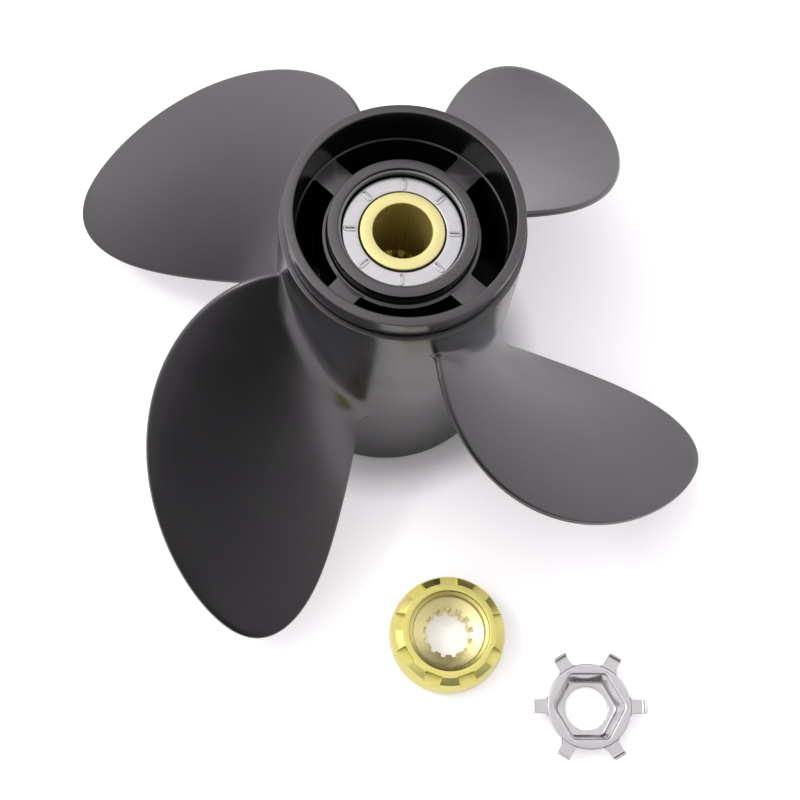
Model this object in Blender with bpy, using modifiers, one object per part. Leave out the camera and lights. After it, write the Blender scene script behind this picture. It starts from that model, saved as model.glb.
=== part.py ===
"""Four-blade outboard propeller with its splined sleeve, rubber bush and fitting kit.

The hub axis is Z. Z = 0 is the aft end of the hub, on which the propeller stands, and
+Z points forward, to the engine. The spline spacer and the tab washer lie beside it on
the same level. All lengths below are millimetres and become metres as they are used.
"""
import math

import bmesh
import bpy
from mathutils import Matrix, Vector

MM = 0.001
GAP = 0.3                    # clearance kept between neighbouring solids

# ---- casting: hub -------------------------------------------------------------------
HUB_LENGTH = 126.0
BLADES = 4
BARREL_RADIUS = 42.0         # outside, along the blade roots
FRONT_EDGE_RADIUS = 41.2     # where the spigot's groove ends and the barrel starts
FRONT_EDGE_Z = 116.6
AFT_RADIUS = 45.6            # outside, at the flared aft end
FLARE_HEIGHT = 44.0
AFT_WALL = 3.4
LIP_INNER_RADIUS = 36.4
SPIGOT_RADIUS = 39.7         # turned spigot that enters the gearcase
SPIGOT_LENGTH = 7.6
GROOVE_RADIUS = 38.6
RIB_TOP = 109.2
PASSAGE_RADIUS = 35.6        # inside of the barrel, along the ribs
RIB_BOTTOM = 40.0
RIB_WIDTH = 10.3
RIB_AZIMUTH = 59.5           # first rib; the others follow every quarter turn

INNER_TOP = 115.2
INNER_BOTTOM = 32.0
INNER_RADIUS = 26.8
INNER_FRONT_RADIUS = 25.2
BUSH_BORE_RADIUS = 20.7
BUSH_SHOULDER_RADIUS = 17.5
BUSH_SHOULDER_TOP = 38.0
MOUTH_RADIUS = 21.6
MOUTH_DEPTH = 1.5

# ---- casting: blades ----------------------------------------------------------------
TIP_RADIUS = 131.0           # 262 mm diameter
ROOT_RADIUS = 41.5           # the blade formulas start here
PITCH = 383.0
BLADE_Z = 71.2               # height of the root's middle
BLADE_AZIMUTH = -33.2        # middle of the first root
RAKE = -27.4                 # height lost from root to tip
HALF_CHORD = (21.0, 62.0, -41.5, -10.2)   # polynomial in the span fraction
TIP_FULLNESS = 5.4
SKEW = (15.5, 29.5)          # square and cubic term, arc length
ROOT_THICKNESS = 10.0
TIP_THICKNESS = 3.2
EDGE_THICKNESS = 2.0
ROOT_FILLET = 6.0
CHORD_STATIONS = 11
SPAN_STATIONS = 12

# ---- drive bush ---------------------------------------------------------------------
SLEEVE_TOP = 112.2
SLEEVE_BOTTOM = 30.0
SLEEVE_RADIUS = 14.35
BORE_RADIUS = 10.0
SPLINE_TOP = 75.0
SPLINE_TEETH = 13
SPLINE_MINOR_RADIUS = 8.2
SPLINE_MAJOR_RADIUS = 9.25
SPLINE_GROOVE_WIDTH = 1.9
SPLINE_AZIMUTH = 18.8        # middle of the first groove
RING_TOP = 111.6
RING_BOTTOM = 105.0
RING_RADIUS = 20.3
RING_SLOTS = 8
RING_SLOT_AZIMUTH = 9.7
RING_SLOT = (15.5, 19.5, 1.2, 0.6)        # inner end, outer end, width, depth

# ---- spline spacer ------------------------------------------------------------------
SPACER_PLACE = (46.5, -109.0)
SPACER_HEIGHT = 14.7
SPACER_RECESS = 5.2          # from the rim down to the splines
SPACER_NOTCHES = 9
NOTCH_AZIMUTH = 21.5         # middle of the first notch
NOTCH = (17.0, 6.6, 4.0)                  # inner end, width, depth

# ---- tab washer ---------------------------------------------------------------------
WASHER_PLACE = (103.4, -124.6)
WASHER_AZIMUTH = 11.5
SHEET = 1.2
FLANGE_RADIUS = 15.8
FLANGE_TOP = 7.4
POCKET_FLATS = 23.6          # across flats at the flange
POCKET_FLOOR_FLATS = 20.6
HEX_CORNER_RADIUS = 2.6
WASHER_HOLE_RADIUS = 8.05
TABS = 6
TAB_WIDTH = 5.0
TAB_END_RADIUS = 21.4
TAB_LIP = 3.2

PARTS = "boat_propeller"
CUTTERS = "cutters"

MATERIALS = {
    "black_paint": ((0.030, 0.029, 0.031), 0.42, 0.0),
    "brass": ((0.80, 0.66, 0.26), 0.28, 1.0),
    "aluminium": ((0.80, 0.80, 0.81), 0.36, 1.0),
    "stainless": ((0.72, 0.72, 0.73), 0.22, 1.0),
    "rubber": ((0.016, 0.016, 0.017), 0.80, 0.0),
}


# ---- scene helpers ------------------------------------------------------------------
def clear_scene():
    for item in list(bpy.data.objects):
        bpy.data.objects.remove(item, do_unlink=True)


def collection(name):
    group = bpy.data.collections.new(name)
    bpy.context.scene.collection.children.link(group)
    return group


def make_material(name, colour, roughness, metallic):
    material = bpy.data.materials.new(name)
    material.use_nodes = True
    shader = material.node_tree.nodes["Principled BSDF"]
    shader.inputs["Base Color"].default_value = (*colour, 1.0)
    shader.inputs["Roughness"].default_value = roughness
    shader.inputs["Metallic"].default_value = metallic
    return material


def add_object(name, data, material, place=(0, 0, 0), azimuth=0.0, group=PARTS):
    item = bpy.data.objects.new(name, data)
    item.location = Vector(place) * MM
    item.rotation_euler = (0, 0, math.radians(azimuth))
    bpy.data.collections[group].objects.link(item)
    if material and not data.materials:
        data.materials.append(bpy.data.materials[material])
    return item


def mesh_from(bm, name):
    bmesh.ops.recalc_face_normals(bm, faces=bm.faces)
    mesh = bpy.data.meshes.new(name)
    bm.to_mesh(mesh)
    bm.free()
    mesh.shade_smooth()
    mesh.set_sharp_from_angle(angle=math.radians(35))
    return mesh


def turned(name, profile, material, steps, place=(0, 0, 0)):
    """Turn a closed profile of (radius, z) points about Z. It runs down the outer side."""
    mesh = bpy.data.meshes.new(name)
    points = [(r * MM, 0.0, z * MM) for r, z in profile]
    edges = [(i, (i + 1) % len(points)) for i in range(len(points))]
    mesh.from_pydata(points, edges, [])
    item = add_object(name, mesh, material, place)
    screw = item.modifiers.new("turn", "SCREW")
    screw.axis = "Z"
    screw.steps = steps
    screw.render_steps = steps
    screw.use_merge_vertices = True
    screw.merge_threshold = 0.00001
    screw.use_smooth_shade = True
    return item


def extruded(name, outline, material, thickness, place=(0, 0, 0), azimuth=0.0, upright=False):
    """Extrude a flat outline by its thickness, about its middle plane."""
    curve = bpy.data.curves.new(name, "CURVE")
    curve.dimensions = "2D"
    curve.fill_mode = "BOTH"
    curve.extrude = thickness / 2 * MM
    spline = curve.splines.new("POLY")
    spline.points.add(len(outline) - 1)
    for point, (x, y) in zip(spline.points, outline):
        point.co = (x * MM, y * MM, 0.0, 1.0)
    spline.use_cyclic_u = True
    item = add_object(name, curve, material, place)
    tilt = Matrix.Rotation(math.radians(90), 4, "X") if upright else Matrix.Identity(4)
    turn = Matrix.Rotation(math.radians(azimuth), 4, "Z")
    item.matrix_world = Matrix.Translation(Vector(place) * MM) @ turn @ tilt
    return item


def box_ring(name, count, azimuth, reach, width, low, high, place=(0, 0, 0)):
    """Boxes set round the Z axis as one cutter, each from reach[0] to reach[1]."""
    bm = bmesh.new()
    size = Vector((reach[1] - reach[0], width, high - low)) * MM
    centre = Vector(((reach[0] + reach[1]) / 2, 0, (low + high) / 2)) * MM
    for k in range(count):
        turn = Matrix.Rotation(math.radians(azimuth) + math.tau * k / count, 4, "Z")
        matrix = turn @ Matrix.Translation(centre) @ Matrix.Diagonal((*size, 1.0))
        bmesh.ops.create_cube(bm, size=1.0, matrix=matrix)
    cutter = add_object(name, mesh_from(bm, name), None, place, group=CUTTERS)
    cutter.hide_render = True
    cutter.display_type = "WIRE"
    return cutter


def cut(item, cutter):
    boolean = item.modifiers.new(cutter.name, "BOOLEAN")
    boolean.operation = "DIFFERENCE"
    boolean.solver = "EXACT"
    boolean.object = cutter


def arc(radius, start, end, steps):
    angles = [math.radians(start + (end - start) * k / steps) for k in range(steps + 1)]
    return [(radius * math.cos(a), radius * math.sin(a)) for a in angles]


# ---- hub ----------------------------------------------------------------------------
def barrel_outside(z):
    """Outer radius of the barrel: a slight cone that ends in the aft flare."""
    if z < FLARE_HEIGHT:
        return BARREL_RADIUS + (AFT_RADIUS - BARREL_RADIUS) * (1 - z / FLARE_HEIGHT) ** 2
    cone = (z - FLARE_HEIGHT) / (FRONT_EDGE_Z - FLARE_HEIGHT)
    return BARREL_RADIUS + (FRONT_EDGE_RADIUS - BARREL_RADIUS) * cone ** 3


def barrel_inside(z):
    aft = AFT_RADIUS - AFT_WALL
    return PASSAGE_RADIUS + (aft - PASSAGE_RADIUS) * max(0.0, 1 - z / RIB_BOTTOM) ** 2


def outer_barrel():
    spigot_end = HUB_LENGTH - SPIGOT_LENGTH
    outside = [
        (LIP_INNER_RADIUS + 0.5, HUB_LENGTH),
        (SPIGOT_RADIUS - 0.4, HUB_LENGTH),
        (SPIGOT_RADIUS, HUB_LENGTH - 0.4),
        (SPIGOT_RADIUS, spigot_end),
        (GROOVE_RADIUS, spigot_end - 0.5),
        (GROOVE_RADIUS, FRONT_EDGE_Z + 0.2),
        (FRONT_EDGE_RADIUS - 0.6, FRONT_EDGE_Z + 0.2),
    ]
    heights = [FRONT_EDGE_Z - 0.4, 104, 84, FLARE_HEIGHT, 33, 24, 16, 8, 0]
    outside += [(barrel_outside(z), z) for z in heights]
    inside = [(barrel_inside(z), z) for z in (0, 8, 16, 25, RIB_BOTTOM)]
    inside += [
        (PASSAGE_RADIUS, RIB_TOP),
        (LIP_INNER_RADIUS - 0.2, RIB_TOP + 0.1),
        (LIP_INNER_RADIUS, HUB_LENGTH - 0.5),
    ]
    turned("outer_barrel", outside + inside, "black_paint", 72)


def inner_barrel():
    profile = [
        (MOUTH_RADIUS, INNER_TOP),
        (INNER_FRONT_RADIUS - 0.4, INNER_TOP),
        (INNER_FRONT_RADIUS, INNER_TOP - 0.4),
        (INNER_FRONT_RADIUS, RIB_TOP + 0.3),
        (INNER_RADIUS, RIB_TOP),
        (INNER_RADIUS, INNER_BOTTOM + 0.6),
        (INNER_RADIUS - 0.6, INNER_BOTTOM),
        (BUSH_SHOULDER_RADIUS, INNER_BOTTOM),
        (BUSH_SHOULDER_RADIUS, BUSH_SHOULDER_TOP),
        (BUSH_BORE_RADIUS, BUSH_SHOULDER_TOP),
        (BUSH_BORE_RADIUS, INNER_TOP - MOUTH_DEPTH),
    ]
    turned("inner_barrel", profile, "black_paint", 64)


def ribs():
    """Four flat ribs that carry the inner barrel and leave four exhaust passages."""
    near, far = INNER_RADIUS + GAP, PASSAGE_RADIUS - GAP
    half = RIB_WIDTH / 2
    spread_near = math.degrees(math.asin(half / near))
    spread_far = math.degrees(math.asin(half / far))
    outline = arc(far, -spread_far, spread_far, 6) + arc(near, spread_near, -spread_near, 6)
    height = RIB_TOP - RIB_BOTTOM - GAP
    middle = (RIB_TOP + RIB_BOTTOM) / 2
    for k in range(BLADES):
        azimuth = RIB_AZIMUTH + 360 / BLADES * k
        extruded(f"rib_{k + 1}", outline, "black_paint", height, (0, 0, middle), azimuth)


# ---- blades -------------------------------------------------------------------------
def half_chord(s):
    a, b, c, d = HALF_CHORD
    return (a + b * s + c * s * s + d * s ** 3) * math.sqrt(1 - s ** TIP_FULLNESS)


def mid_arc(s):
    return SKEW[0] * s * s + SKEW[1] * s ** 3


def thickness(s):
    return TIP_THICKNESS + (ROOT_THICKNESS - TIP_THICKNESS) * (1 - s) ** 1.3


def root_flare(depth):
    """How far the fillet widens a section that lies depth outside the barrel."""
    if depth >= ROOT_FILLET:
        return 0.0
    return ROOT_FILLET - math.sqrt(ROOT_FILLET ** 2 - (ROOT_FILLET - depth) ** 2)


def helix_slope(radius):
    """Angle of the blade's chord above the plane of rotation."""
    return math.atan(PITCH / (math.tau * radius))


def section_outline(s):
    """Closed outline of a blade section as (distance along the chord, distance off it)."""
    slope = helix_slope(ROOT_RADIUS + (TIP_RADIUS - ROOT_RADIUS) * s)
    half = half_chord(s) / math.cos(slope)
    edge = min(EDGE_THICKNESS / 2, half * 0.7)
    belly = max(0.0, thickness(s) / 2 - edge)
    upper = []
    for k in range(CHORD_STATIONS):
        t = -math.cos(math.pi * k / (CHORD_STATIONS - 1))
        upper.append((t * (half - edge), edge + belly * (1 - t * t)))
    lower = [(u, -v) for u, v in reversed(upper)]
    return [(-half, 0.0)] + upper + [(half, 0.0)] + lower


def widen(outline, amount):
    """Move each point of a closed outline out along its normal."""
    moved = []
    for k, (u, v) in enumerate(outline):
        before, after = outline[k - 1], outline[(k + 1) % len(outline)]
        along = Vector((after[0] - before[0], after[1] - before[1])).normalized()
        moved.append((u - along.y * amount, v + along.x * amount))
    return moved


def blade_point(s, radius, u, v):
    """Place a section point: u runs down the helix from the leading edge, v off it."""
    slope = helix_slope(radius)
    arc_length = mid_arc(s) + u * math.cos(slope) + v * math.sin(slope)
    drop = mid_arc(s) * math.tan(slope) + u * math.sin(slope)
    z = BLADE_Z + RAKE * s - drop + v * math.cos(slope)
    angle = arc_length / radius
    return Vector((radius * math.cos(angle), radius * math.sin(angle), z)) * MM


def blade_mesh():
    """Loft the sections from the barrel's surface out to the tip."""
    reach = TIP_RADIUS - ROOT_RADIUS
    depths = [0.0, 0.12, 0.35, 0.7]
    stations = [d * ROOT_FILLET / reach for d in depths]
    start = ROOT_FILLET / reach
    for k in range(SPAN_STATIONS):
        stations.append(start + (0.9992 - start) * math.sin(math.pi / 2 * k / (SPAN_STATIONS - 1)))
    bm = bmesh.new()
    rings = []
    for s in stations:
        outline = widen(section_outline(s), root_flare(s * reach))
        ring = []
        for u, v in outline:
            radius = ROOT_RADIUS + reach * s
            z = blade_point(s, radius, u, v).z / MM
            seat = barrel_outside(z) + GAP
            radius = seat + (TIP_RADIUS - seat) * s
            ring.append(bm.verts.new(blade_point(s, radius, u, v)))
        rings.append(ring)
    count = len(rings[0])
    for low, high in zip(rings, rings[1:]):
        for k in range(count):
            n = (k + 1) % count
            bm.faces.new((low[k], low[n], high[n], high[k]))
    root_cap(bm, rings[0])
    bm.faces.new(list(reversed(rings[-1])))
    return mesh_from(bm, "blade")


def root_cap(bm, ring):
    """Close the root with rows of points that follow the barrel's round surface."""
    half = CHORD_STATIONS
    upper, lower = ring[1:half + 1], list(reversed(ring[half + 2:]))
    rows = [upper]
    for part in (0.25, 0.5, 0.75):
        row = []
        for a, b in zip(upper, lower):
            point = a.co.lerp(b.co, part)
            seat = (barrel_outside(point.z / MM) + GAP) * MM
            flat = Vector((point.x, point.y, 0)).normalized() * seat
            row.append(bm.verts.new((flat.x, flat.y, point.z)))
        rows.append(row)
    rows.append(lower)
    for near, far in zip(rows, rows[1:]):
        for k in range(half - 1):
            bm.faces.new((near[k], near[k + 1], far[k + 1], far[k]))
    bm.faces.new([ring[0]] + [row[0] for row in rows])
    bm.faces.new([ring[half + 1]] + [row[-1] for row in reversed(rows)])


def blades():
    mesh = blade_mesh()
    for k in range(BLADES):
        azimuth = BLADE_AZIMUTH + 360 / BLADES * k
        add_object(f"blade_{k + 1}", mesh, "black_paint", azimuth=azimuth)


# ---- drive bush ---------------------------------------------------------------------
def splined_sleeve():
    profile = [
        (BORE_RADIUS + 0.4, SLEEVE_TOP),
        (SLEEVE_RADIUS - 0.4, SLEEVE_TOP),
        (SLEEVE_RADIUS, SLEEVE_TOP - 0.4),
        (SLEEVE_RADIUS, SLEEVE_BOTTOM + 0.4),
        (SLEEVE_RADIUS - 0.4, SLEEVE_BOTTOM),
        (SPLINE_MINOR_RADIUS, SLEEVE_BOTTOM),
        (SPLINE_MINOR_RADIUS, SPLINE_TOP - 1.0),
        (BORE_RADIUS, SPLINE_TOP),
        (BORE_RADIUS, SLEEVE_TOP - 0.4),
    ]
    sleeve = turned("splined_sleeve", profile, "brass", 52)
    reach = (SPLINE_MINOR_RADIUS - 2, SPLINE_MAJOR_RADIUS)
    cutter = box_ring("sleeve_grooves", SPLINE_TEETH, SPLINE_AZIMUTH, reach,
                      SPLINE_GROOVE_WIDTH, SLEEVE_BOTTOM - 1, SPLINE_TOP + 2)
    cut(sleeve, cutter)


def rubber_bush():
    outer, inner = BUSH_BORE_RADIUS - GAP, SLEEVE_RADIUS + GAP
    top, bottom = RING_BOTTOM - GAP, BUSH_SHOULDER_TOP + GAP
    profile = [(outer, top), (outer, bottom), (inner, bottom), (inner, top)]
    turned("rubber_bush", profile, "rubber", 40)


def bush_ring():
    inner = SLEEVE_RADIUS + GAP + 0.1
    profile = [
        (inner + 0.2, RING_TOP),
        (RING_RADIUS - 0.4, RING_TOP),
        (RING_RADIUS, RING_TOP - 0.4),
        (RING_RADIUS, RING_BOTTOM),
        (inner, RING_BOTTOM),
        (inner, RING_TOP - 0.2),
    ]
    ring = turned("bush_ring", profile, "aluminium", 64)
    start, end, width, depth = RING_SLOT
    cutter = box_ring("ring_slots", RING_SLOTS, RING_SLOT_AZIMUTH, (start, end), width,
                      RING_TOP - depth, RING_TOP + 1)
    cut(ring, cutter)


# ---- fitting kit --------------------------------------------------------------------
def spline_spacer():
    place = (*SPACER_PLACE, 0)
    top = SPACER_HEIGHT
    profile = [
        (15.0, top),
        (17.5, top),
        (19.6, top - 0.6),
        (20.6, top - 1.8),
        (21.3, 9.0),
        (21.9, 4.0),
        (21.5, 1.4),
        (20.4, 0.0),
        (SPLINE_MINOR_RADIUS, 0.0),
        (SPLINE_MINOR_RADIUS, top - SPACER_RECESS),
        (13.3, top - 3.6),
        (13.9, top - 1.8),
        (14.9, top - 1.2),
    ]
    spacer = turned("spline_spacer", profile, "brass", 52, place)
    reach = (SPLINE_MINOR_RADIUS - 2, SPLINE_MAJOR_RADIUS)
    grooves = box_ring("spacer_grooves", SPLINE_TEETH, SPLINE_AZIMUTH, reach,
                       SPLINE_GROOVE_WIDTH, -1, top, place)
    start, width, depth = NOTCH
    notches = box_ring("spacer_notches", SPACER_NOTCHES, NOTCH_AZIMUTH, (start, 24), width,
                       top - depth, top + 1, place)
    cut(spacer, grooves)
    cut(spacer, notches)


def hexagon_radius(flats, angle):
    """Radius of a hexagon with rounded corners, one corner at angle 0."""
    sixth = math.tau / 6
    off_corner = abs((angle + sixth / 2) % sixth - sixth / 2)
    inset = (flats / 2 - HEX_CORNER_RADIUS) / math.cos(sixth / 2)
    reach = inset + HEX_CORNER_RADIUS * math.cos(sixth / 2)
    if off_corner < math.atan2(HEX_CORNER_RADIUS * math.sin(sixth / 2), reach):
        aside = inset * math.sin(off_corner)
        return inset * math.cos(off_corner) + math.sqrt(HEX_CORNER_RADIUS ** 2 - aside ** 2)
    return flats / 2 / math.cos(sixth / 2 - off_corner)


def tab_washer():
    """Pressed washer: round flange, hexagonal pocket for the nut, round hole."""
    low = FLANGE_TOP - SHEET
    profile = [
        (None, FLANGE_RADIUS, FLANGE_TOP),
        (None, FLANGE_RADIUS, low),
        (POCKET_FLATS + 1.6, 0, low),
        (POCKET_FLOOR_FLATS + 1.9, 0, 0.4),
        (POCKET_FLOOR_FLATS + 1.1, 0, 0.0),
        (None, WASHER_HOLE_RADIUS, 0.0),
        (None, WASHER_HOLE_RADIUS, SHEET),
        (POCKET_FLOOR_FLATS - 1.2, 0, SHEET),
        (POCKET_FLOOR_FLATS - 0.4, 0, SHEET + 0.5),
        (POCKET_FLATS - 0.9, 0, FLANGE_TOP - 0.6),
        (POCKET_FLATS, 0, FLANGE_TOP),
    ]
    steps = 48
    bm = bmesh.new()
    rings = []
    for k in range(steps):
        angle = math.tau * k / steps
        ring = []
        for flats, radius, z in profile:
            r = hexagon_radius(flats, angle) if flats else radius
            ring.append(bm.verts.new(Vector((r * math.cos(angle), r * math.sin(angle), z)) * MM))
        rings.append(ring)
    for k in range(steps):
        here, there = rings[k], rings[(k + 1) % steps]
        for j in range(len(profile)):
            n = (j + 1) % len(profile)
            bm.faces.new((here[j], here[n], there[n], there[j]))
    mesh = mesh_from(bm, "tab_washer")
    add_object("tab_washer", mesh, "stainless", (*WASHER_PLACE, 0), WASHER_AZIMUTH)


def tabs():
    """Six locking tabs, each about its own bend line at the flange's lower edge."""
    hinge_z = FLANGE_TOP - SHEET
    end = TAB_END_RADIUS - FLANGE_RADIUS
    outline = [
        (GAP, 0),
        (end - 0.3, 0),
        (end, 0.3),
        (end, TAB_LIP),
        (end - SHEET * 0.8, TAB_LIP),
        (end - SHEET * 0.8, SHEET),
        (GAP, SHEET),
    ]
    for k in range(TABS):
        azimuth = WASHER_AZIMUTH + 360 / TABS * k
        turn = math.radians(azimuth)
        x = WASHER_PLACE[0] + FLANGE_RADIUS * math.cos(turn)
        y = WASHER_PLACE[1] + FLANGE_RADIUS * math.sin(turn)
        extruded(f"tab_{k + 1}", outline, "stainless", TAB_WIDTH, (x, y, hinge_z), azimuth,
                 upright=True)


def main():
    clear_scene()
    collection(PARTS)
    collection(CUTTERS)
    for name, (colour, roughness, metallic) in MATERIALS.items():
        make_material(name, colour, roughness, metallic)
    outer_barrel()
    inner_barrel()
    ribs()
    blades()
    splined_sleeve()
    rubber_bush()
    bush_ring()
    spline_spacer()
    tab_washer()
    tabs()


main()
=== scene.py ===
"""Looks of the boat propeller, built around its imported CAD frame.

The hub axis is Z, Z = 0 is the aft end of the hub on the floor, and +Z is forward.
Lengths are millimetres until a mesh is written, where they become metres.
"""
import math

import bmesh
import bpy
from mathutils import Matrix, Vector

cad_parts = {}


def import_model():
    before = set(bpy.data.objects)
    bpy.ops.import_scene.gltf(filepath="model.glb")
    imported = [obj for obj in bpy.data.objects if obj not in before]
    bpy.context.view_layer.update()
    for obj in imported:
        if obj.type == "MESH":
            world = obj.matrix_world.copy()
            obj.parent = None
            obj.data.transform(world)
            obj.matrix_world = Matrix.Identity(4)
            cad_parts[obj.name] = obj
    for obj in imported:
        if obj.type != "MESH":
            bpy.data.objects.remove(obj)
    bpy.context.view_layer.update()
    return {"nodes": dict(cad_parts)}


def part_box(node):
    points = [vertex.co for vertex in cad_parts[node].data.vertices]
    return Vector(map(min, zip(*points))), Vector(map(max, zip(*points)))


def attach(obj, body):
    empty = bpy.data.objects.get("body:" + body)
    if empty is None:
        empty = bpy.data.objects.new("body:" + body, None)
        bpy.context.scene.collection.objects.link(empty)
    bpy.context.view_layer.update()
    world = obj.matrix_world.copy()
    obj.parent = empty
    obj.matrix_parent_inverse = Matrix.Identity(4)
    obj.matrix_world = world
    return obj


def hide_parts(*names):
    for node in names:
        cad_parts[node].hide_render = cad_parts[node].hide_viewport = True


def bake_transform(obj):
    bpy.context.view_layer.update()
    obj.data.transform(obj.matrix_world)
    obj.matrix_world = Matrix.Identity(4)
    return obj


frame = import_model()

MM = 0.001

# ---- hub of the casting -------------------------------------------------------------
FRONT = 126.0                # face of the spigot
LIP_INNER = 36.4
LIP_OUTER = 39.7
SPIGOT_END = 118.4
GROOVE = 38.7
GROOVE_END = 117.0
BARREL_FRONT = 41.2
BARREL = 42.0
AFT = 45.6
FLARE = 44.0
AFT_WALL = 3.4
PASSAGE = 35.6
STEP_Z = 109.2
RIB_BOTTOM = 40.0
RIB_WIDTH = 10.3
RIB_AZIMUTH = 59.5
INNER = 26.8
INNER_FRONT = 25.2
INNER_TOP = 115.2
INNER_BOTTOM = 32.0
BUSH_BORE = 20.7
MOUTH = 21.5
FACE_TAPER = 0.25            # drop of a turned face from its bore to its rim
SHOULDER = 17.5              # inside of the shoulder that stops the rubber bush
SHOULDER_TOP = 38.0
RIB_FLARE = 0.9              # fillet of a rib into both barrels

# ---- blades -------------------------------------------------------------------------
TIP = 131.0
ROOT = 41.5
PITCH = 383.0
BLADE_Z = 71.2
BLADE_AZIMUTH = -33.2
RAKE = -27.4
HALF_CHORD = (21.0, 62.0, -41.5, -10.2)
TIP_FULLNESS = 5.4
SKEW = (15.5, 29.5)
EDGE = 1.0                   # edge radius
TIP_THICKNESS = 3.2
ROOT_EXTRA = 6.8             # thickness that the root has beyond the tip's
ROOT_FILLET = 6.5
LEADING_LESS = 4.7           # what the fillet loses towards the leading edge
TRAILING_LESS = 1.5


def smoothstep(x):
    x = min(1.0, max(0.0, x))
    return x * x * (3 - 2 * x)


# ---- mesh helpers -------------------------------------------------------------------
def finish_mesh(bm, name, sharp=38):
    bmesh.ops.recalc_face_normals(bm, faces=bm.faces)
    mesh = bpy.data.meshes.new(name)
    bm.to_mesh(mesh)
    bm.free()
    mesh.shade_smooth()
    mesh.set_sharp_from_angle(angle=math.radians(sharp))
    return mesh


def add_piece(name, mesh, material, body, nodes=(), place=(0, 0, 0), azimuth=0.0):
    piece = bpy.data.objects.new(name, mesh)
    bpy.context.scene.collection.objects.link(piece)
    turn = Matrix.Rotation(math.radians(azimuth), 4, "Z")
    mesh.transform(Matrix.Translation(Vector(place)) @ turn)
    mesh.materials.clear()
    mesh.materials.append(material)
    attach(piece, body)
    if nodes:
        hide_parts(*nodes)
    return piece


def rounded(points, segments=5):
    """A closed outline whose corners (x, y, radius) are rounded with tangent arcs."""
    path = []
    count = len(points)
    for k, (x, y, radius) in enumerate(points):
        here = Vector((x, y))
        if radius <= 0:
            path.append((x, y))
            continue
        back = (Vector(points[k - 1][:2]) - here).normalized()
        ahead = (Vector(points[(k + 1) % count][:2]) - here).normalized()
        half = back.angle(ahead) / 2
        reach = radius / math.tan(half)
        centre = here + (back + ahead).normalized() * radius / math.sin(half)
        start, end = here + back * reach - centre, here + ahead * reach - centre
        swing = start.angle_signed(end)
        for j in range(segments + 1):
            arm = start.copy()
            arm.rotate(Matrix.Rotation(-swing * j / segments, 2))
            path.append(tuple(centre + arm))
    return path


def densified(path, step):
    """The same closed outline with no edge longer than step."""
    dense = []
    for k, (x, y) in enumerate(path):
        nx, ny = path[(k + 1) % len(path)]
        parts = max(1, math.ceil(math.hypot(nx - x, ny - y) / step))
        dense += [(x + (nx - x) * j / parts, y + (ny - y) * j / parts) for j in range(parts)]
    return dense


def revolved(path, steps, radius=None):
    """Revolve a closed (r, z) outline. radius(r, z, angle) may reshape it round the axis."""
    bm = bmesh.new()
    rings = []
    for k in range(steps):
        angle = math.tau * k / steps
        ring = []
        for r, z in path:
            reach = radius(r, z, angle) if radius else r
            ring.append(bm.verts.new(
                Vector((reach * math.cos(angle), reach * math.sin(angle), z)) * MM))
        rings.append(ring)
    count = len(path)
    for k in range(steps):
        here, there = rings[k], rings[(k + 1) % steps]
        for j in range(count):
            n = (j + 1) % count
            bm.faces.new((here[j], here[n], there[n], there[j]))
    return bm


def prism(outline, low, high, edge=0.0):
    """Extrude an (x, y) outline from low to high, with its top edge rounded over."""
    levels = [(low, 0.0)]
    if edge:
        levels += [(high - edge * (1 - math.sin(a)), edge * (1 - math.cos(a)))
                   for a in (math.pi / 2 * j / 4 for j in range(5))]
    else:
        levels.append((high, 0.0))
    count = len(outline)
    bm = bmesh.new()
    rings = []
    for z, inset in levels:
        ring = []
        for k, (x, y) in enumerate(outline):
            before, after = outline[k - 1], outline[(k + 1) % count]
            along = Vector((after[0] - before[0], after[1] - before[1])).normalized()
            ring.append(bm.verts.new(
                Vector((x - along.y * inset, y + along.x * inset, z)) * MM))
        rings.append(ring)
    for low_ring, high_ring in zip(rings, rings[1:]):
        for k in range(count):
            n = (k + 1) % count
            bm.faces.new((low_ring[k], low_ring[n], high_ring[n], high_ring[k]))
    bm.faces.new(list(reversed(rings[0])))
    bm.faces.new(rings[-1])
    return bm


def scratch(bm, name):
    """A temporary object that only feeds a Boolean."""
    bmesh.ops.recalc_face_normals(bm, faces=bm.faces)
    mesh = bpy.data.meshes.new(name)
    bm.to_mesh(mesh)
    bm.free()
    item = bpy.data.objects.new(name, mesh)
    bpy.context.scene.collection.objects.link(item)
    return item


def combined(name, base, add=(), cut=(), sharp=38):
    """Join and then cut scratch objects with exact Booleans and return the one mesh."""
    others = [*add, *cut]
    for other in others:
        step = base.modifiers.new(other.name, "BOOLEAN")
        step.operation = "UNION" if other in add else "DIFFERENCE"
        step.solver = "EXACT"
        step.object = other
    bpy.context.view_layer.update()
    graph = bpy.context.evaluated_depsgraph_get()
    mesh = bpy.data.meshes.new_from_object(base.evaluated_get(graph))
    mesh.name = name
    for item in [base, *others]:
        bpy.data.objects.remove(item, do_unlink=True)
    mesh.shade_smooth()
    mesh.set_sharp_from_angle(angle=math.radians(sharp))
    return mesh


# ---- casting ------------------------------------------------------------------------
def barrel_outside(z):
    if z < FLARE:
        return BARREL + (AFT - BARREL) * (1 - z / FLARE) ** 2
    cone = (z - FLARE) / (GROOVE_END - FLARE)
    return BARREL + (BARREL_FRONT - BARREL) * cone ** 3


def barrel_inside(z):
    return PASSAGE + (AFT - AFT_WALL - PASSAGE) * max(0.0, 1 - z / RIB_BOTTOM) ** 2


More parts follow.
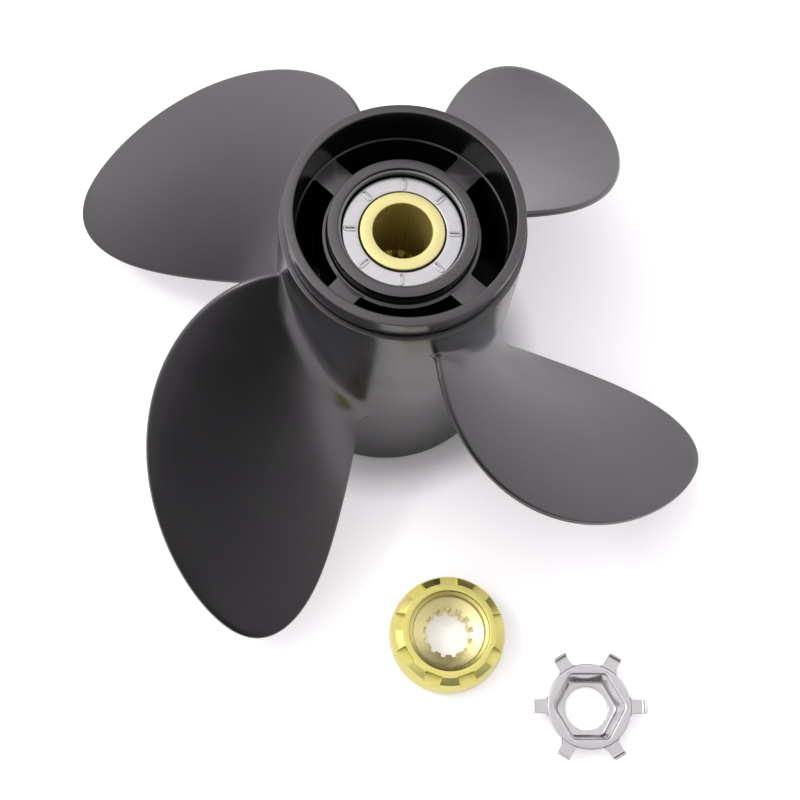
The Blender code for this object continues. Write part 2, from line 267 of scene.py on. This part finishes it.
def outer_barrel():
    points = [
        (LIP_INNER, FRONT, 0.6),
        (LIP_OUTER, FRONT - FACE_TAPER, 0.4),
        (LIP_OUTER, SPIGOT_END, 0.3),
        (GROOVE, SPIGOT_END - 0.3, 0.2),
        (GROOVE, GROOVE_END, 0.2),
        (BARREL_FRONT, GROOVE_END, 0.3),
    ]
    points += [(barrel_outside(z), z, 0) for z in range(112, 0, -4)]
    points += [(AFT, 0, 0.5), (AFT - AFT_WALL, 0, 0.5)]
    points += [(barrel_inside(z), z, 0) for z in range(4, 41, 4)]
    points += [(PASSAGE, STEP_Z - 0.2, 0.1), (LIP_INNER - 0.2, STEP_Z + 0.25, 0.1)]
    return scratch(revolved(densified(rounded(points), step=2.6), steps=216), "barrel")


def inner_barrel():
    points = [
        (MOUTH, INNER_TOP, 0.5),
        (INNER_FRONT, INNER_TOP - FACE_TAPER, 0.25),
        (INNER_FRONT, STEP_Z - 0.2, 0.7),
        (INNER, STEP_Z - 0.2, 0.2),
        (INNER, INNER_BOTTOM, 0.8),
        (SHOULDER, INNER_BOTTOM, 0.4),
        (SHOULDER, SHOULDER_TOP, 0.3),
        (BUSH_BORE, SHOULDER_TOP, 0),
        (BUSH_BORE, INNER_TOP - 1.3, 0.1),
        (MOUTH, INNER_TOP - 1.1, 0.1),
    ]
    path = densified(rounded(points, segments=4), step=4.0)
    return scratch(revolved(path, steps=192), "inner")


def turned(outline, azimuth):
    """The same (x, y) outline, turned about the hub axis."""
    c, s = math.cos(math.radians(azimuth)), math.sin(math.radians(azimuth))
    return [(x * c - y * s, x * s + y * c) for x, y in outline]


def rib_outline(azimuth):
    """Plan of a rib: parallel sides that flare into both barrels and end inside them."""
    half, flare = RIB_WIDTH / 2, RIB_FLARE
    quarter = [math.pi / 2 * k / 8 for k in range(9)]
    edge = [(INNER - 1.6, half + flare)]
    edge += [(INNER - 1.0 + flare * math.sin(a), half + flare * (1 - math.sin(a)) ** 1.5)
             for a in quarter]
    edge += [(PASSAGE - 0.2 - flare * math.cos(a), half + flare * (1 - math.cos(a)) ** 1.5)
             for a in quarter]
    edge.append((PASSAGE + 1.2, half + flare))
    return turned([(x, -y) for x, y in edge] + [(x, y) for x, y in reversed(edge)], azimuth)


def helix_slope(radius):
    return math.atan(PITCH / (math.tau * radius))


def half_chord(s):
    a, b, c, d = HALF_CHORD
    return (a + b * s + c * s * s + d * s ** 3) * math.sqrt(1 - s ** TIP_FULLNESS)


def section(s, stations):
    """Blade section outline as (along the chord, off it, edge share), leading edge first."""
    radius = ROOT + (TIP - ROOT) * s
    half = half_chord(s) / math.cos(helix_slope(radius))
    edge = min(EDGE, half * 0.6)
    thickness = TIP_THICKNESS + ROOT_EXTRA * (1 - s) ** 1.3
    belly = max(0.0, thickness / 2 - edge) * min(1.0, half / 12)
    upper = []
    for k in range(stations + 1):
        t = -math.cos(math.pi * k / stations)
        inside = half * (1 - abs(t))
        nose = math.sqrt(max(0.0, edge ** 2 - max(0.0, edge - inside) ** 2))
        upper.append((t * half, nose + belly * (1 - t * t), t))
    lower = [(u, -v, t) for u, v, t in reversed(upper[1:-1])]
    return upper + lower


def blade_point(s, radius, u, v):
    slope = helix_slope(radius)
    mid = SKEW[0] * s * s + SKEW[1] * s ** 3
    angle = (mid + u * math.cos(slope) + v * math.sin(slope)) / radius
    z = BLADE_Z + RAKE * s - mid * math.tan(slope) - u * math.sin(slope) + v * math.cos(slope)
    return Vector((radius * math.cos(angle), radius * math.sin(angle), z)) * MM


def root_fillet(depth, t):
    """Width that the root fillet adds outside the barrel, less at both ends of the chord."""
    leading, trailing = smoothstep((-0.6 - t) / 0.4), smoothstep((t - 0.6) / 0.4)
    radius = ROOT_FILLET - LEADING_LESS * leading - TRAILING_LESS * trailing
    if depth >= radius:
        return 0.0
    if depth < 0:
        return radius - depth * 6
    return radius - math.sqrt(radius ** 2 - (radius - depth) ** 2)


def blade(index, stations=52, spans=52):
    """Sections from just inside the barrel out to the tip, closer where the fillet bends."""
    reach = TIP - ROOT
    depths = [-0.2, 0.0, 0.05, 0.16, 0.35, 0.65, 1.05, 1.6, 2.3, 3.2, 4.2, 5.3, 6.5, 7.7, 9.0]
    spread = [d / reach for d in depths]
    start = spread[-1]
    spread += [start + (0.9996 - start) * math.sin(math.pi / 2 * k / spans)
               for k in range(1, spans + 1)]
    bm = bmesh.new()
    rings = []
    for s in spread:
        outline = section(max(0.0, s), stations)
        count = len(outline)
        ring = []
        for k, (u, v, t) in enumerate(outline):
            before, after = outline[k - 1], outline[(k + 1) % count]
            along = Vector((after[0] - before[0], after[1] - before[1])).normalized()
            grow = root_fillet(s * reach, t)
            u, v = u - along.y * grow, v + along.x * grow
            z = blade_point(s, ROOT + reach * s, u, v).z / MM
            seat = barrel_outside(z)
            ring.append(bm.verts.new(blade_point(s, seat + (TIP - seat) * s, u, v)))
        rings.append(ring)
    for low, high in zip(rings, rings[1:]):
        for k in range(count):
            n = (k + 1) % count
            bm.faces.new((low[k], low[n], high[n], high[k]))
    for ring in (rings[0], rings[-1]):
        half = count // 2
        for k in range(half):
            quad = [ring[k], ring[k + 1], ring[-k - 1], ring[-k]]
            unique = list(dict.fromkeys(quad))
            if len(unique) > 2:
                bm.faces.new(unique)
    turn = Matrix.Rotation(math.radians(BLADE_AZIMUTH + 90 * index), 4, "Z")
    bmesh.ops.transform(bm, matrix=turn, verts=bm.verts)
    return scratch(bm, f"blade_{index}")


def casting(paint):
    others = [inner_barrel()]
    for k in range(4):
        outline = rib_outline(RIB_AZIMUTH + 90 * k)
        others.append(scratch(prism(outline, RIB_BOTTOM - 1, STEP_Z - 0.2, 0.2), f"rib_{k}"))
        others.append(blade(k))
    nodes = ["outer_barrel", "inner_barrel"]
    nodes += [f"{kind}_{k}" for kind in ("rib", "blade") for k in range(1, 5)]
    mesh = combined("casting", outer_barrel(), add=others)
    add_piece("casting", mesh, paint, "casting", nodes)


# ---- drive bush ---------------------------------------------------------------------
SLEEVE_TOP = 112.2
SLEEVE_BOTTOM = 30.0
SLEEVE = 14.35
BORE = 10.0
TEETH = 13
SPLINE_AZIMUTH = 18.8        # middle of a groove
MINOR, MAJOR = 8.2, 9.25
SPLINE_TOP = 75.0
RING = 20.3
RING_INNER = 14.75
RING_TOP = 111.6
RING_BOTTOM = 105.0
RING_SLOTS = 8
RING_SLOT_AZIMUTH = 9.7
BEAD = (15.2, 19.8, 2.1)     # raised border of a slot: inner end, outer end, width
SLOT = (15.7, 19.3, 1.0)


def spline_radius(angle):
    """Inside of a splined hole: flat teeth at the minor radius, grooves between them."""
    phase = ((angle - math.radians(SPLINE_AZIMUTH)) * TEETH / math.tau) % 1.0
    rise = smoothstep((abs(phase - 0.5) - 0.28) / 0.08 + 0.5)
    return MINOR + (MAJOR - MINOR) * rise


def splined(points, segments, step):
    """A turned body whose points at the minor radius carry the splines."""
    path = densified(rounded(points, segments), step)
    path = [(MINOR if abs(r - MINOR) < 0.01 else r, z) for r, z in path]
    return revolved(path, TEETH * 16,
                    lambda r, z, angle: spline_radius(angle) if r == MINOR else r)


def sleeve(brass):
    points = [
        (BORE, SLEEVE_TOP, 0.35),
        (SLEEVE, SLEEVE_TOP, 0.45),
        (SLEEVE, SLEEVE_BOTTOM, 0.5),
        (MINOR, SLEEVE_BOTTOM, 0),
        (MINOR, SPLINE_TOP - 1.2, 0),
        (BORE, SPLINE_TOP, 0),
    ]
    mesh = finish_mesh(splined(points, segments=5, step=6.0), "sleeve", sharp=30)
    add_piece("drive_sleeve", mesh, brass, "sleeve", ["splined_sleeve"])


def stadium(inner, outer, width, azimuth):
    """Plan of a slot with round ends that lies along a radius."""
    half = width / 2
    outline = []
    for centre, start in ((outer - half, -90), (inner + half, 90)):
        for k in range(9):
            a = math.radians(start + 180 * k / 8)
            outline.append((centre + half * math.cos(a), half * math.sin(a)))
    return turned(outline, azimuth)


def bush_ring(aluminium):
    points = [(RING_INNER, RING_TOP, 0.4), (RING, RING_TOP, 0.45), (RING, RING_BOTTOM, 0.3),
              (RING_INNER, RING_BOTTOM, 0)]
    path = densified(rounded(points), step=1.5)
    ring = scratch(revolved(path, steps=192), "ring")
    beads, slots = [], []
    for k in range(RING_SLOTS):
        azimuth = RING_SLOT_AZIMUTH + 360 / RING_SLOTS * k
        bead = prism(stadium(*BEAD, azimuth), RING_TOP - 0.6, RING_TOP + 0.22, edge=0.3)
        beads.append(scratch(bead, f"bead_{k}"))
        slot = prism(stadium(*SLOT, azimuth), RING_TOP - 0.5, RING_TOP + 1)
        slots.append(scratch(slot, f"slot_{k}"))
    mesh = combined("bush_ring", ring, add=beads, cut=slots, sharp=30)
    bm = bmesh.new()
    bm.from_mesh(mesh)
    for edge in bm.edges:
        edge.smooth = edge.calc_face_angle(0) < math.radians(30)
    bm.to_mesh(mesh)
    bm.free()
    add_piece("drive_ring", mesh, aluminium, "casting", ["bush_ring"])


# ---- fitting kit --------------------------------------------------------------------
SPACER_TOP = 14.7
SPACER_RECESS = 14.0         # radius of the recess and the splines within it
NOTCHES = 9
NOTCH_AZIMUTH = 21.5
NOTCH_START = 17.0
NOTCH_HALF_WIDTH = 3.3
NOTCH_DEPTH = 4.0


def centre_of(node):
    low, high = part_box(node)
    return Vector(((low.x + high.x) / 2, (low.y + high.y) / 2, 0))


def spacer(brass):
    top = SPACER_TOP
    points = [
        (15.0, top, 0.2), (17.6, top, 0.5), (20.3, top - 1.5, 0.6), (21.4, 9.0, 1.5),
        (21.9, 4.4, 1.5), (21.4, 1.0, 0.8), (20.2, 0, 0.5), (MINOR, 0, 0),
        (MINOR, top - 5.2, 0), (13.3, top - 3.5, 0.4), (13.7, top - 1.6, 0.3),
        (14.9, top - 1.1, 0.2),
    ]
    body = scratch(splined(points, segments=4, step=1.6), "spacer")
    start, half, past = NOTCH_START, NOTCH_HALF_WIDTH, 25
    box = rounded([(start, -half, 0.5), (past, -half, 0), (past, half, 0),
                   (start, half, 0.5)], segments=4)
    cutters = []
    for k in range(NOTCHES):
        cutter = scratch(prism(box, top - NOTCH_DEPTH, top + 2), f"notch_{k}")
        azimuth = math.radians(NOTCH_AZIMUTH + 360 / NOTCHES * k)
        cutter.matrix_world = Matrix.Rotation(azimuth, 4, "Z")
        cutters.append(cutter)
    mesh = combined("spacer", body, cut=cutters, sharp=30)
    add_piece("spacer", mesh, brass, "spacer", ["spline_spacer"],
              centre_of("spline_spacer"))


SHEET = 1.2
FLANGE = 15.8
FLANGE_TOP = 7.4
WASHER_HOLE = 8.05
HEX_CORNER = 2.6
WASHER_AZIMUTH = 11.5
TABS = 6
TAB_REACH = 5.6
TAB_LIP = 3.2                # height of a tab's upturned end
TAB_HALF_WIDTH = 2.5


def hexagon(across, corner, angle):
    """Radius of a hexagon with rounded corners, one corner at angle 0."""
    sixth = math.tau / 6
    off_corner = abs((angle + sixth / 2) % sixth - sixth / 2)
    flat = across / 2
    centre = (flat - corner) / math.cos(sixth / 2)
    start = math.atan2(corner * math.sin(sixth / 2), centre + corner * math.cos(sixth / 2))
    if off_corner < start:
        drop = centre * math.sin(off_corner)
        return centre * math.cos(off_corner) + math.sqrt(max(0.0, corner ** 2 - drop ** 2))
    return flat / math.cos(sixth / 2 - off_corner)


def washer(steel):
    """Pressed sheet, round at the hole and the flange and hexagonal in the pocket between."""
    low = FLANGE_TOP - SHEET
    points = [
        (11.9, FLANGE_TOP, 0.9), (FLANGE, FLANGE_TOP, 0.4), (FLANGE, low, 0.4),
        (12.9, low, 0.5), (11.35, 0, 1.0), (WASHER_HOLE, 0, 0.25),
        (WASHER_HOLE, SHEET, 0.25), (10.0, SHEET, 0.9),
    ]
    path = densified(rounded(points, segments=6), step=1.2)

    def shape(r, z, angle):
        share = smoothstep((r - 8.6) / 1.2) * smoothstep((14.6 - r) / 1.8)
        return r + (hexagon(2 * r, HEX_CORNER, angle) - r) * share

    mesh = finish_mesh(revolved(path, steps=240, radius=shape), "washer", sharp=40)
    add_piece("washer", mesh, steel, "washer", ["tab_washer"],
              centre_of("tab_washer"), WASHER_AZIMUTH)


def tab_section():
    """Side outline of a tab, from the flange's edge to its upturned end."""
    start, end, lip = 0.02, TAB_REACH, TAB_REACH - SHEET * 0.75
    return densified(rounded([
        (start, 0, 0), (end, 0, 1.5), (end, TAB_LIP, 0.35), (lip, TAB_LIP, 0.35),
        (lip, SHEET, 0.7), (start, SHEET, 0)]), step=0.45)


def tab_mesh():
    """Tab along +X, its root hollowed to fit the flange's round edge."""
    path = tab_section()
    across = [-1, -0.97, -0.9, -0.6, -0.3, 0, 0.3, 0.6, 0.9, 0.97, 1]
    bm = bmesh.new()
    rows = []
    for w in across:
        row = []
        for x, z in path:
            root = max(0.0, 1 - x / 1.3)
            half = TAB_HALF_WIDTH + 1.1 * root ** 2 - 0.25 * smoothstep((z - 1.4) / 1.5)
            y = w * half
            back = math.sqrt(FLANGE ** 2 - y * y) - FLANGE
            shrink = 0.12 if abs(w) == 1 else 0.0
            middle = 0.6 if x < 4.4 else z
            row.append(bm.verts.new(Vector((
                x + back * max(0.0, 1 - x / 2), y,
                FLANGE_TOP - SHEET + z + (middle - z) * shrink)) * MM))
        rows.append(row)
    count = len(path)
    for a, b in zip(rows, rows[1:]):
        for k in range(count):
            n = (k + 1) % count
            bm.faces.new((a[k], a[n], b[n], b[k]))
    bm.faces.new(list(reversed(rows[0])))
    bm.faces.new(rows[-1])
    return finish_mesh(bm, "tab", sharp=40)


def tabs(steel):
    centre = centre_of("tab_washer")
    for k in range(TABS):
        azimuth = WASHER_AZIMUTH + 360 / TABS * k
        outward = Matrix.Rotation(math.radians(azimuth), 4, "Z") @ Vector((1, 0, 0))
        mesh = tab_mesh()
        root = centre + outward * FLANGE * MM
        name = f"tab_{k + 1}"
        piece = bpy.data.objects.new(f"washer_{name}", mesh)
        bpy.context.scene.collection.objects.link(piece)
        mesh.transform(Matrix.Translation(root) @ Matrix.Rotation(math.radians(azimuth), 4, "Z"))
        mesh.materials.append(steel)
        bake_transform(piece)
        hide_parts(name)


# ---- materials ----------------------------------------------------------------------
# Pairs of near colours, between which a noise wanders.
PAINT = (0.0045, 0.004, 0.0045), (0.007, 0.0065, 0.007)
SLEEVE_BRASS = (0.66, 0.61, 0.29), (0.60, 0.55, 0.24)
SPACER_BRASS = (0.67, 0.62, 0.22), (0.58, 0.52, 0.15)
ALUMINIUM = (0.44, 0.44, 0.445), (0.51, 0.51, 0.515)
STEEL = (0.50, 0.495, 0.50), (0.56, 0.555, 0.56)
RUBBER = (0.010, 0.010, 0.010), (0.020, 0.019, 0.019)
FLOOR_PAPER = (0.86, 0.86, 0.865), (0.87, 0.87, 0.875)
# Metallic colour of a band that paints a brighter sheen along the ledge in the mouth of the bush
# bore.
LEDGE_SHEEN_METAL = (0.16, 0.16, 0.16)
GREASED_BORE = (0.50, 0.41, 0.12)
PALE_RECESS = (0.76, 0.68, 0.33)


class Surface:
    """A Principled material whose colour, roughness and relief come from nodes."""

    def __init__(self, name, roughness, metallic=0.0, specular=0.5):
        self.material = bpy.data.materials.new(name)
        self.material.use_nodes = True
        self.tree = self.material.node_tree
        self.shader = self.tree.nodes["Principled BSDF"]
        self.shader.inputs["Roughness"].default_value = roughness
        self.shader.inputs["Metallic"].default_value = metallic
        self.shader.inputs["Specular IOR Level"].default_value = specular
        self.coords = self.node("ShaderNodeTexCoord").outputs["Object"]

    def node(self, kind, **settings):
        item = self.tree.nodes.new(kind)
        for key, value in settings.items():
            setattr(item, key, value)
        return item

    def link(self, source, target):
        self.tree.links.new(source, target)

    def noise(self, size_mm, detail, stretch=(1, 1, 1)):
        mapping = self.node("ShaderNodeMapping")
        mapping.inputs["Scale"].default_value = [1000 / size_mm * a for a in stretch]
        noise = self.node("ShaderNodeTexNoise")
        noise.inputs["Scale"].default_value = 1.0
        noise.inputs["Detail"].default_value = detail
        self.link(self.coords, mapping.inputs["Vector"])
        self.link(mapping.outputs["Vector"], noise.inputs["Vector"])
        return noise.outputs["Fac"]

    def spread(self, source, low, high, start=0.3, end=0.7):
        """Map start..end, by default the range of a noise, onto low..high."""
        item = self.node("ShaderNodeMapRange")
        for name, value in (("From Min", start), ("From Max", end), ("To Min", low),
                            ("To Max", high)):
            item.inputs[name].default_value = value
        self.link(source, item.inputs["Value"])
        return item.outputs["Result"]

    def mix(self, source, first, second):
        """Mix two colours, or a node's colour and another one."""
        item = self.node("ShaderNodeMix", data_type="RGBA")
        for name, colour in (("A", first), ("B", second)):
            if isinstance(colour, tuple):
                item.inputs[name].default_value = (*colour, 1)
            else:
                self.link(colour, item.inputs[name])
        self.link(source, item.inputs["Factor"])
        return item.outputs["Result"]

    def colours(self, source, first, second):
        """Base colour that wanders between two near ones."""
        self.link(self.mix(source, first, second), self.shader.inputs["Base Color"])

    def math(self, operation, *values):
        item = self.node("ShaderNodeMath", operation=operation)
        for socket, value in zip(item.inputs, values):
            if isinstance(value, (int, float)):
                socket.default_value = value
            else:
                self.link(value, socket)
        return item.outputs["Value"]

    def distance(self, centre=(0, 0, 0)):
        """Distance from a vertical axis through centre, in metres."""
        away = self.node("ShaderNodeVectorMath", operation="SUBTRACT")
        away.inputs[1].default_value = centre
        flat = self.node("ShaderNodeVectorMath", operation="MULTIPLY")
        flat.inputs[1].default_value = (1, 1, 0)
        length = self.node("ShaderNodeVectorMath", operation="LENGTH")
        self.link(self.coords, away.inputs[0])
        self.link(away.outputs["Vector"], flat.inputs[0])
        self.link(flat.outputs["Vector"], length.inputs[0])
        return length.outputs["Value"]

    def band(self, radius, wide, z, high):
        """1 inside a ring round the hub axis: its radius and height, each with a half width."""
        split = self.node("ShaderNodeSeparateXYZ")
        self.link(self.coords, split.inputs["Vector"])
        near = self.math("COMPARE", self.distance(), radius * MM, wide * MM)
        level = self.math("COMPARE", split.outputs["Z"], z * MM, high * MM)
        return self.math("MULTIPLY", near, level)

    def relief(self, *layers):
        """Chain bump layers given as (height, distance in mm, strength)."""
        normal = None
        for height, distance, strength in layers:
            bump = self.node("ShaderNodeBump")
            bump.inputs["Distance"].default_value = distance * MM
            bump.inputs["Strength"].default_value = strength
            self.link(height, bump.inputs["Height"])
            if normal:
                self.link(normal, bump.inputs["Normal"])
            normal = bump.outputs["Normal"]
        self.link(normal, self.shader.inputs["Normal"])

    def rings(self, centre, pitch_mm):
        """Fine turning marks round a vertical axis, as noise along the radius."""
        noise = self.node("ShaderNodeTexNoise", noise_dimensions="1D")
        noise.inputs["Scale"].default_value = 1000 / pitch_mm
        noise.inputs["Detail"].default_value = 2.0
        self.link(self.distance(centre), noise.inputs["W"])
        return noise.outputs["Fac"]


def paint_material():
    """Satin black, with a painted sheen along the narrow ledge in the mouth of the bush bore: a
    metallic band there.
    """
    surface = Surface("satin_black_paint", 0.25, specular=1.0)
    surface.shader.inputs["Specular Tint"].default_value = (1, 0.965, 1, 1)
    paint = surface.mix(surface.noise(45, 4), *PAINT)
    # Painted sheen: a metallic band that makes the ledge in the mouth of the bush bore reflect
    # brighter than the paint.
    ledge_sheen = surface.band(radius=21.1, wide=0.38, z=114.0, high=0.3)
    surface.link(surface.mix(ledge_sheen, paint, LEDGE_SHEEN_METAL), surface.shader.inputs["Base Color"])
    surface.link(ledge_sheen, surface.shader.inputs["Metallic"])
    surface.link(surface.spread(surface.noise(18, 4), 0.22, 0.28),
                 surface.shader.inputs["Roughness"])
    surface.relief((surface.noise(1.1, 2), 0.02, 0.08), (surface.noise(14, 2), 0.10, 0.06))
    return surface.material


def brass_material(name, centre, colours, roughness, bore, bore_colour, bore_metallic=1.0):
    """Turned brass, with another colour and sheen closer to the axis than bore."""
    surface = Surface(name, roughness, metallic=1.0)
    metal = surface.mix(surface.noise(5, 3), *colours)
    within = surface.math("LESS_THAN", surface.distance(centre), bore * MM)
    metal = surface.mix(within, metal, bore_colour)
    if bore_metallic < 1:
        surface.link(surface.spread(within, 1.0, bore_metallic, start=0.0, end=1.0),
                     surface.shader.inputs["Metallic"])
    surface.link(metal, surface.shader.inputs["Base Color"])
    surface.link(surface.spread(surface.noise(1.4, 1, (1, 1, 0.03)), roughness - 0.04,
                                roughness + 0.04), surface.shader.inputs["Roughness"])
    surface.relief((surface.rings(centre, 0.35), 0.01, 0.3))
    return surface.material


def aluminium_material():
    surface = Surface("turned_aluminium", 0.36, metallic=1.0)
    surface.colours(surface.noise(4, 3), *ALUMINIUM)
    surface.link(surface.spread(surface.noise(1.6, 3), 0.3, 0.42),
                 surface.shader.inputs["Roughness"])
    surface.relief((surface.rings((0, 0, 0), 0.5), 0.012, 0.3))
    return surface.material


def steel_material():
    surface = Surface("pressed_stainless", 0.2, metallic=1.0)
    surface.colours(surface.noise(4, 3), *STEEL)
    surface.link(surface.spread(surface.noise(2.5, 2), 0.14, 0.22),
                 surface.shader.inputs["Roughness"])
    surface.relief((surface.noise(5, 2), 0.05, 0.12))
    return surface.material


def rubber_material():
    surface = Surface("moulded_rubber", 0.8)
    surface.colours(surface.noise(3, 3), *RUBBER)
    surface.relief((surface.noise(0.7, 2), 0.03, 0.3))
    return surface.material


# ---- stage --------------------------------------------------------------------------
LENS = 66.43
CAMERA_PLACE = (0.01081, -0.21428, 0.55753)
CAMERA_RIGHT = (0.97829, 0.19564, 0.06838)
CAMERA_UP = (-0.20724, 0.92351, 0.32278)
STUDIO_TINT = (1, 0.97, 1, 1)
# The floor paper glows, a painted light that lifts its shadows. A painted shade leaves the glow
# out in a ring under and round the hub's foot, and the glow is weaker in the middle, under the
# bore.
FLOOR_PAINTED_GLOW = 0.32
PAINTED_SHADE_MIDDLE = 0.0295
PAINTED_SHADE_HALF, FULL_GLOW_HALF = 0.0205, 0.0345
# The surround as lobes: direction, cosine where each starts and ends, strength at both.
STUDIO = (
    ((-0.078, 0.993, 0.087), -0.85, 0.51, 0.08, 1.42),      # brighter towards the back
    ((-0.907, -0.111, 0.407), 0.30, 0.44, 0.0, 0.46),       # broad panel on the left
    ((-0.6, 0.0, 0.8), 0.84, 0.97, 0.0, 0.7),               # softbox above it
    ((0.079, 0.903, 0.423), 0.78, 0.95, 0.0, -0.6),         # darker patch high at the back
)


def camera():
    data = bpy.data.cameras.new("camera")
    data.sensor_width = 36.0
    data.lens = LENS
    data.clip_start = 0.01
    item = bpy.data.objects.new("camera", data)
    right, up = Vector(CAMERA_RIGHT), Vector(CAMERA_UP)
    turn = Matrix((right, up, right.cross(up))).transposed().to_4x4()
    item.matrix_world = Matrix.Translation(CAMERA_PLACE) @ turn
    bpy.context.scene.collection.objects.link(item)
    bpy.context.scene.camera = item


def floor():
    bm = bmesh.new()
    bmesh.ops.create_circle(bm, cap_ends=True, segments=96, radius=6.0)
    mesh = bpy.data.meshes.new("floor")
    bm.to_mesh(mesh)
    bm.free()
    surface = Surface("floor_paper", 0.9, specular=0.1)
    surface.colours(surface.noise(30, 2), *FLOOR_PAPER)
    surface.shader.inputs["Emission Color"].default_value = STUDIO_TINT
    # Painted light and shade on the floor: a glow everywhere except a dark ring under and round
    # the hub's foot.
    off = surface.math("SUBTRACT", surface.distance(), PAINTED_SHADE_MIDDLE)
    painted_glow = surface.spread(surface.math("ABSOLUTE", off), 0.0, FLOOR_PAINTED_GLOW, PAINTED_SHADE_HALF, FULL_GLOW_HALF)
    surface.link(painted_glow, surface.shader.inputs["Emission Strength"])
    mesh.materials.append(surface.material)
    item = bpy.data.objects.new("floor", mesh)
    item.location.z = -0.0003
    bpy.context.scene.collection.objects.link(item)


def area_light(name, place, target, size, power):
    data = bpy.data.lights.new(name, "AREA")
    data.shape = "DISK"
    data.size = size
    data.energy = power
    item = bpy.data.objects.new(name, data)
    item.location = place
    item.rotation_euler = (Vector(target) - Vector(place)).to_track_quat("-Z", "Y").to_euler()
    bpy.context.scene.collection.objects.link(item)


def world():
    """Studio surround: the strengths of all lobes added up."""
    scene = bpy.context.scene
    scene.world = bpy.data.worlds.new("studio")
    scene.world.use_nodes = True
    tree = scene.world.node_tree
    background = tree.nodes["Background"]
    coords = tree.nodes.new("ShaderNodeTexCoord")
    total = None
    for direction, start, end, low, high in STUDIO:
        facing = tree.nodes.new("ShaderNodeVectorMath")
        facing.operation = "DOT_PRODUCT"
        facing.inputs[1].default_value = direction
        ramp = tree.nodes.new("ShaderNodeMapRange")
        for name, value in (("From Min", start), ("From Max", end), ("To Min", low),
                            ("To Max", high)):
            ramp.inputs[name].default_value = value
        tree.links.new(coords.outputs["Generated"], facing.inputs[0])
        tree.links.new(facing.outputs["Value"], ramp.inputs["Value"])
        if total:
            both = tree.nodes.new("ShaderNodeMath")
            tree.links.new(total, both.inputs[0])
            tree.links.new(ramp.outputs["Result"], both.inputs[1])
            total = both.outputs["Value"]
        else:
            total = ramp.outputs["Result"]
    tree.links.new(total, background.inputs["Strength"])
    background.inputs["Color"].default_value = STUDIO_TINT


def main():
    camera()
    floor()
    world()
    area_light("key", place=(-1.0, -0.03, 1.35), target=(0, 0, 0.1), size=0.25, power=4.0)
    bpy.context.scene.view_settings.view_transform = "Standard"
    casting(paint_material())
    sleeve(brass_material("sleeve_brass", (0, 0, 0), SLEEVE_BRASS, 0.3, BORE + 0.3,
                          GREASED_BORE, bore_metallic=0.4))
    bush_ring(aluminium_material())
    rubber = frame["nodes"]["rubber_bush"]
    rubber.data.materials.clear()
    rubber.data.materials.append(rubber_material())
    spacer(brass_material("spacer_brass", centre_of("spline_spacer"), SPACER_BRASS, 0.36,
                          SPACER_RECESS, PALE_RECESS))
    steel = steel_material()
    washer(steel)
    tabs(steel)


main()
